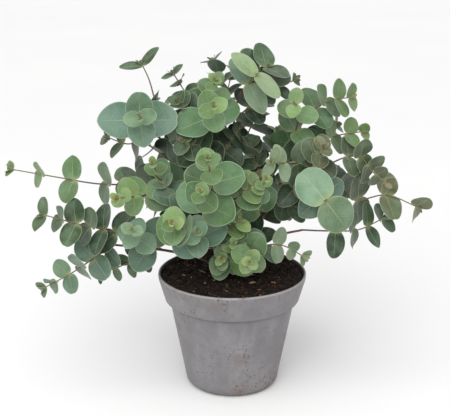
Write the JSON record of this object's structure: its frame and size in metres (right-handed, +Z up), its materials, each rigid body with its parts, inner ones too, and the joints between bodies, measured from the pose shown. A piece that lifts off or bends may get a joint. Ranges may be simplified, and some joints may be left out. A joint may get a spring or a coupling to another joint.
{
  "type": "potted eucalyptus",
  "caption": "Bushy young eucalyptus with paired round blue-green leaves on thin arching stems, in a tapered grey plastic nursery pot of compost.",
  "frame": {"origin": "middle of the pot's underside, on the plane it stands on", "axes": "+Z up along the pot's axis, -Y towards the plant's front, +X to the front's right"},
  "size_m": [0.468, 0.2804, 0.3935],
  "materials": {
    "pot": "moulded grey polypropylene, lightly soiled",
    "compost": "moist dark peat compost, crumbly",
    "stem": "thin purplish-brown young bark",
    "bark": "dry bark chips",
    "leaf_young": "soft young growth, yellow-green, satin",
    "leaf_light": "mid green, waxy satin",
    "leaf_pale": "pale waxy bloom, matt",
    "leaf_blue": "blue-green waxy bloom, matt",
    "leaf_dark": "dark green older leaf, satin",
    "leaf_olive": "olive grey-green, satin"
  },
  "bodies": {
    "root": {"bark_chip_orange": "bark", "bark_chip_tan": "bark", "compost": "compost", "fallen_twig": "bark", "pot": "pot", "shoot_arc_right": "leaf_olive", "shoot_back_high": "leaf_dark", "shoot_back_left": "leaf_light", "shoot_back_low": "leaf_blue", "shoot_back_right": "leaf_light", "shoot_back_side_left": "leaf_blue", "shoot_back_side_right": "leaf_blue", "shoot_big_leaved": "leaf_blue", "shoot_bud_centre": "leaf_light", "shoot_cluster_centre": "leaf_light", "shoot_dark_centre": "leaf_dark", "shoot_dark_left": "leaf_dark", "shoot_dark_top": "leaf_dark", "shoot_heart_left": "leaf_blue", "shoot_high_left": "leaf_dark", "shoot_high_right": "leaf_light", "shoot_inner_green": "leaf_dark", "shoot_inner_right": "leaf_pale", "shoot_left_long": "leaf_light", "shoot_left_low": "leaf_blue", "shoot_left_mid": "leaf_dark", "shoot_left_under": "leaf_dark", "shoot_light_left": "leaf_light", "shoot_mid_right": "leaf_light", "shoot_right_arc": "leaf_dark", "shoot_right_long": "leaf_olive", "shoot_ring_rosette": "leaf_light", "shoot_rosette_front": "leaf_light", "shoot_rosette_front_high": "leaf_light", "shoot_rosette_front_left": "leaf_young", "shoot_rosette_front_low": "leaf_blue", "shoot_rosette_high_left": "leaf_blue", "shoot_rosette_left": "leaf_young", "shoot_round_right": "leaf_light", "shoot_side_left": "leaf_dark", "shoot_small_leaved": "leaf_dark", "shoot_sprout_crown": "leaf_light", "shoot_sprout_front": "leaf_young", "shoot_sprout_left": "leaf_light", "shoot_sprout_right": "leaf_pale", "shoot_top_bud": "leaf_dark", "shoot_top_cluster": "leaf_dark", "shoot_top_left": "leaf_pale", "stem_back": "stem", "stem_centre": "stem", "stem_front": "stem", "stem_front_left": "stem", "stem_front_low": "stem", "stem_left": "stem", "stem_left_low": "stem", "stem_right": "stem", "stem_right_low": "stem", "stem_top": "stem", "stem_upper_left": "stem", "stem_upper_right": "stem"}
  },
  "joints": []
}
